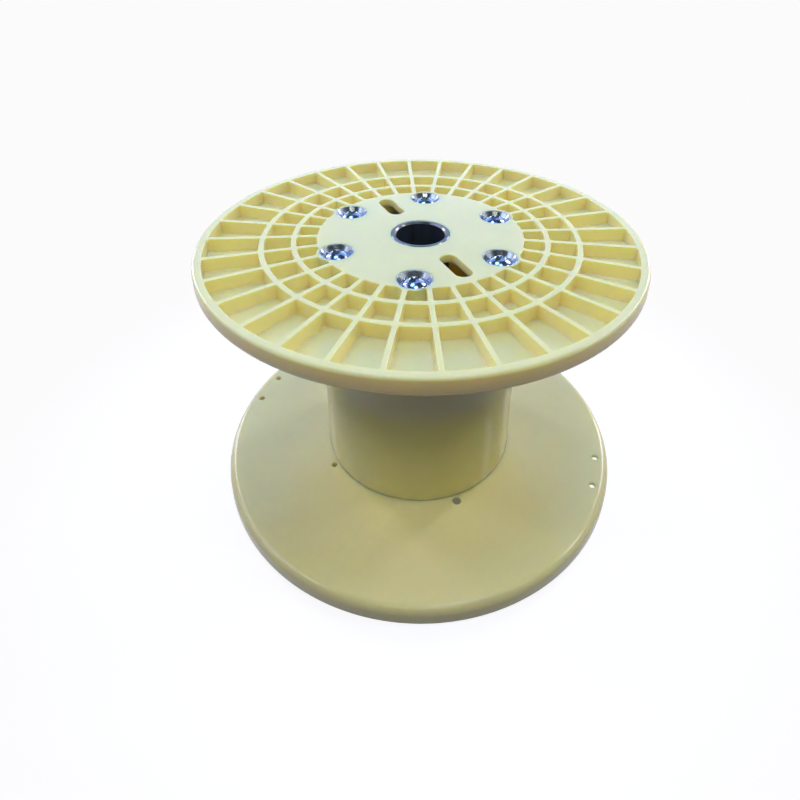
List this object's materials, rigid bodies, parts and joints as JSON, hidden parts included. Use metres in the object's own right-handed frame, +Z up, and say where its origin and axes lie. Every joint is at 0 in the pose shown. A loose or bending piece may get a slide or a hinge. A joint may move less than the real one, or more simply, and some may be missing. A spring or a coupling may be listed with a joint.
{
  "type": "plastic wire spool",
  "caption": "Empty moulded plastic wire spool: ribbed round flanges bolted to a plain barrel, with a steel centre tube, drive slots and lacing holes.",
  "frame": {"origin": "centre of the spool's lowest face, on its axis", "axes": "+Z up along the spool's axis, +X through the two drive slots"},
  "size_m": [0.4999, 0.5, 0.319],
  "materials": {
    "flange_plastic": "pale cream moulded ABS, semi-gloss",
    "barrel_plastic": "pale cream moulded ABS, semi-gloss",
    "tube_steel": "plain turned steel tube, dark inside",
    "zinc_plated_steel": "bright blue-white zinc plate"
  },
  "bodies": {
    "root": {"upper_flange": "flange_plastic", "lower_flange": "flange_plastic", "barrel": "barrel_plastic", "centre_tube": "tube_steel", "tie_bolt_1": "zinc_plated_steel", "sleeve_nut_1": "zinc_plated_steel", "upper_cup_washer_1": "zinc_plated_steel", "lower_cup_washer_1": "zinc_plated_steel", "tie_bolt_2": "zinc_plated_steel", "sleeve_nut_2": "zinc_plated_steel", "upper_cup_washer_2": "zinc_plated_steel", "lower_cup_washer_2": "zinc_plated_steel", "tie_bolt_3": "zinc_plated_steel", "sleeve_nut_3": "zinc_plated_steel", "upper_cup_washer_3": "zinc_plated_steel", "lower_cup_washer_3": "zinc_plated_steel", "tie_bolt_4": "zinc_plated_steel", "sleeve_nut_4": "zinc_plated_steel", "upper_cup_washer_4": "zinc_plated_steel", "lower_cup_washer_4": "zinc_plated_steel", "tie_bolt_5": "zinc_plated_steel", "sleeve_nut_5": "zinc_plated_steel", "upper_cup_washer_5": "zinc_plated_steel", "lower_cup_washer_5": "zinc_plated_steel", "tie_bolt_6": "zinc_plated_steel", "sleeve_nut_6": "zinc_plated_steel", "upper_cup_washer_6": "zinc_plated_steel", "lower_cup_washer_6": "zinc_plated_steel"}
  },
  "joints": []
}
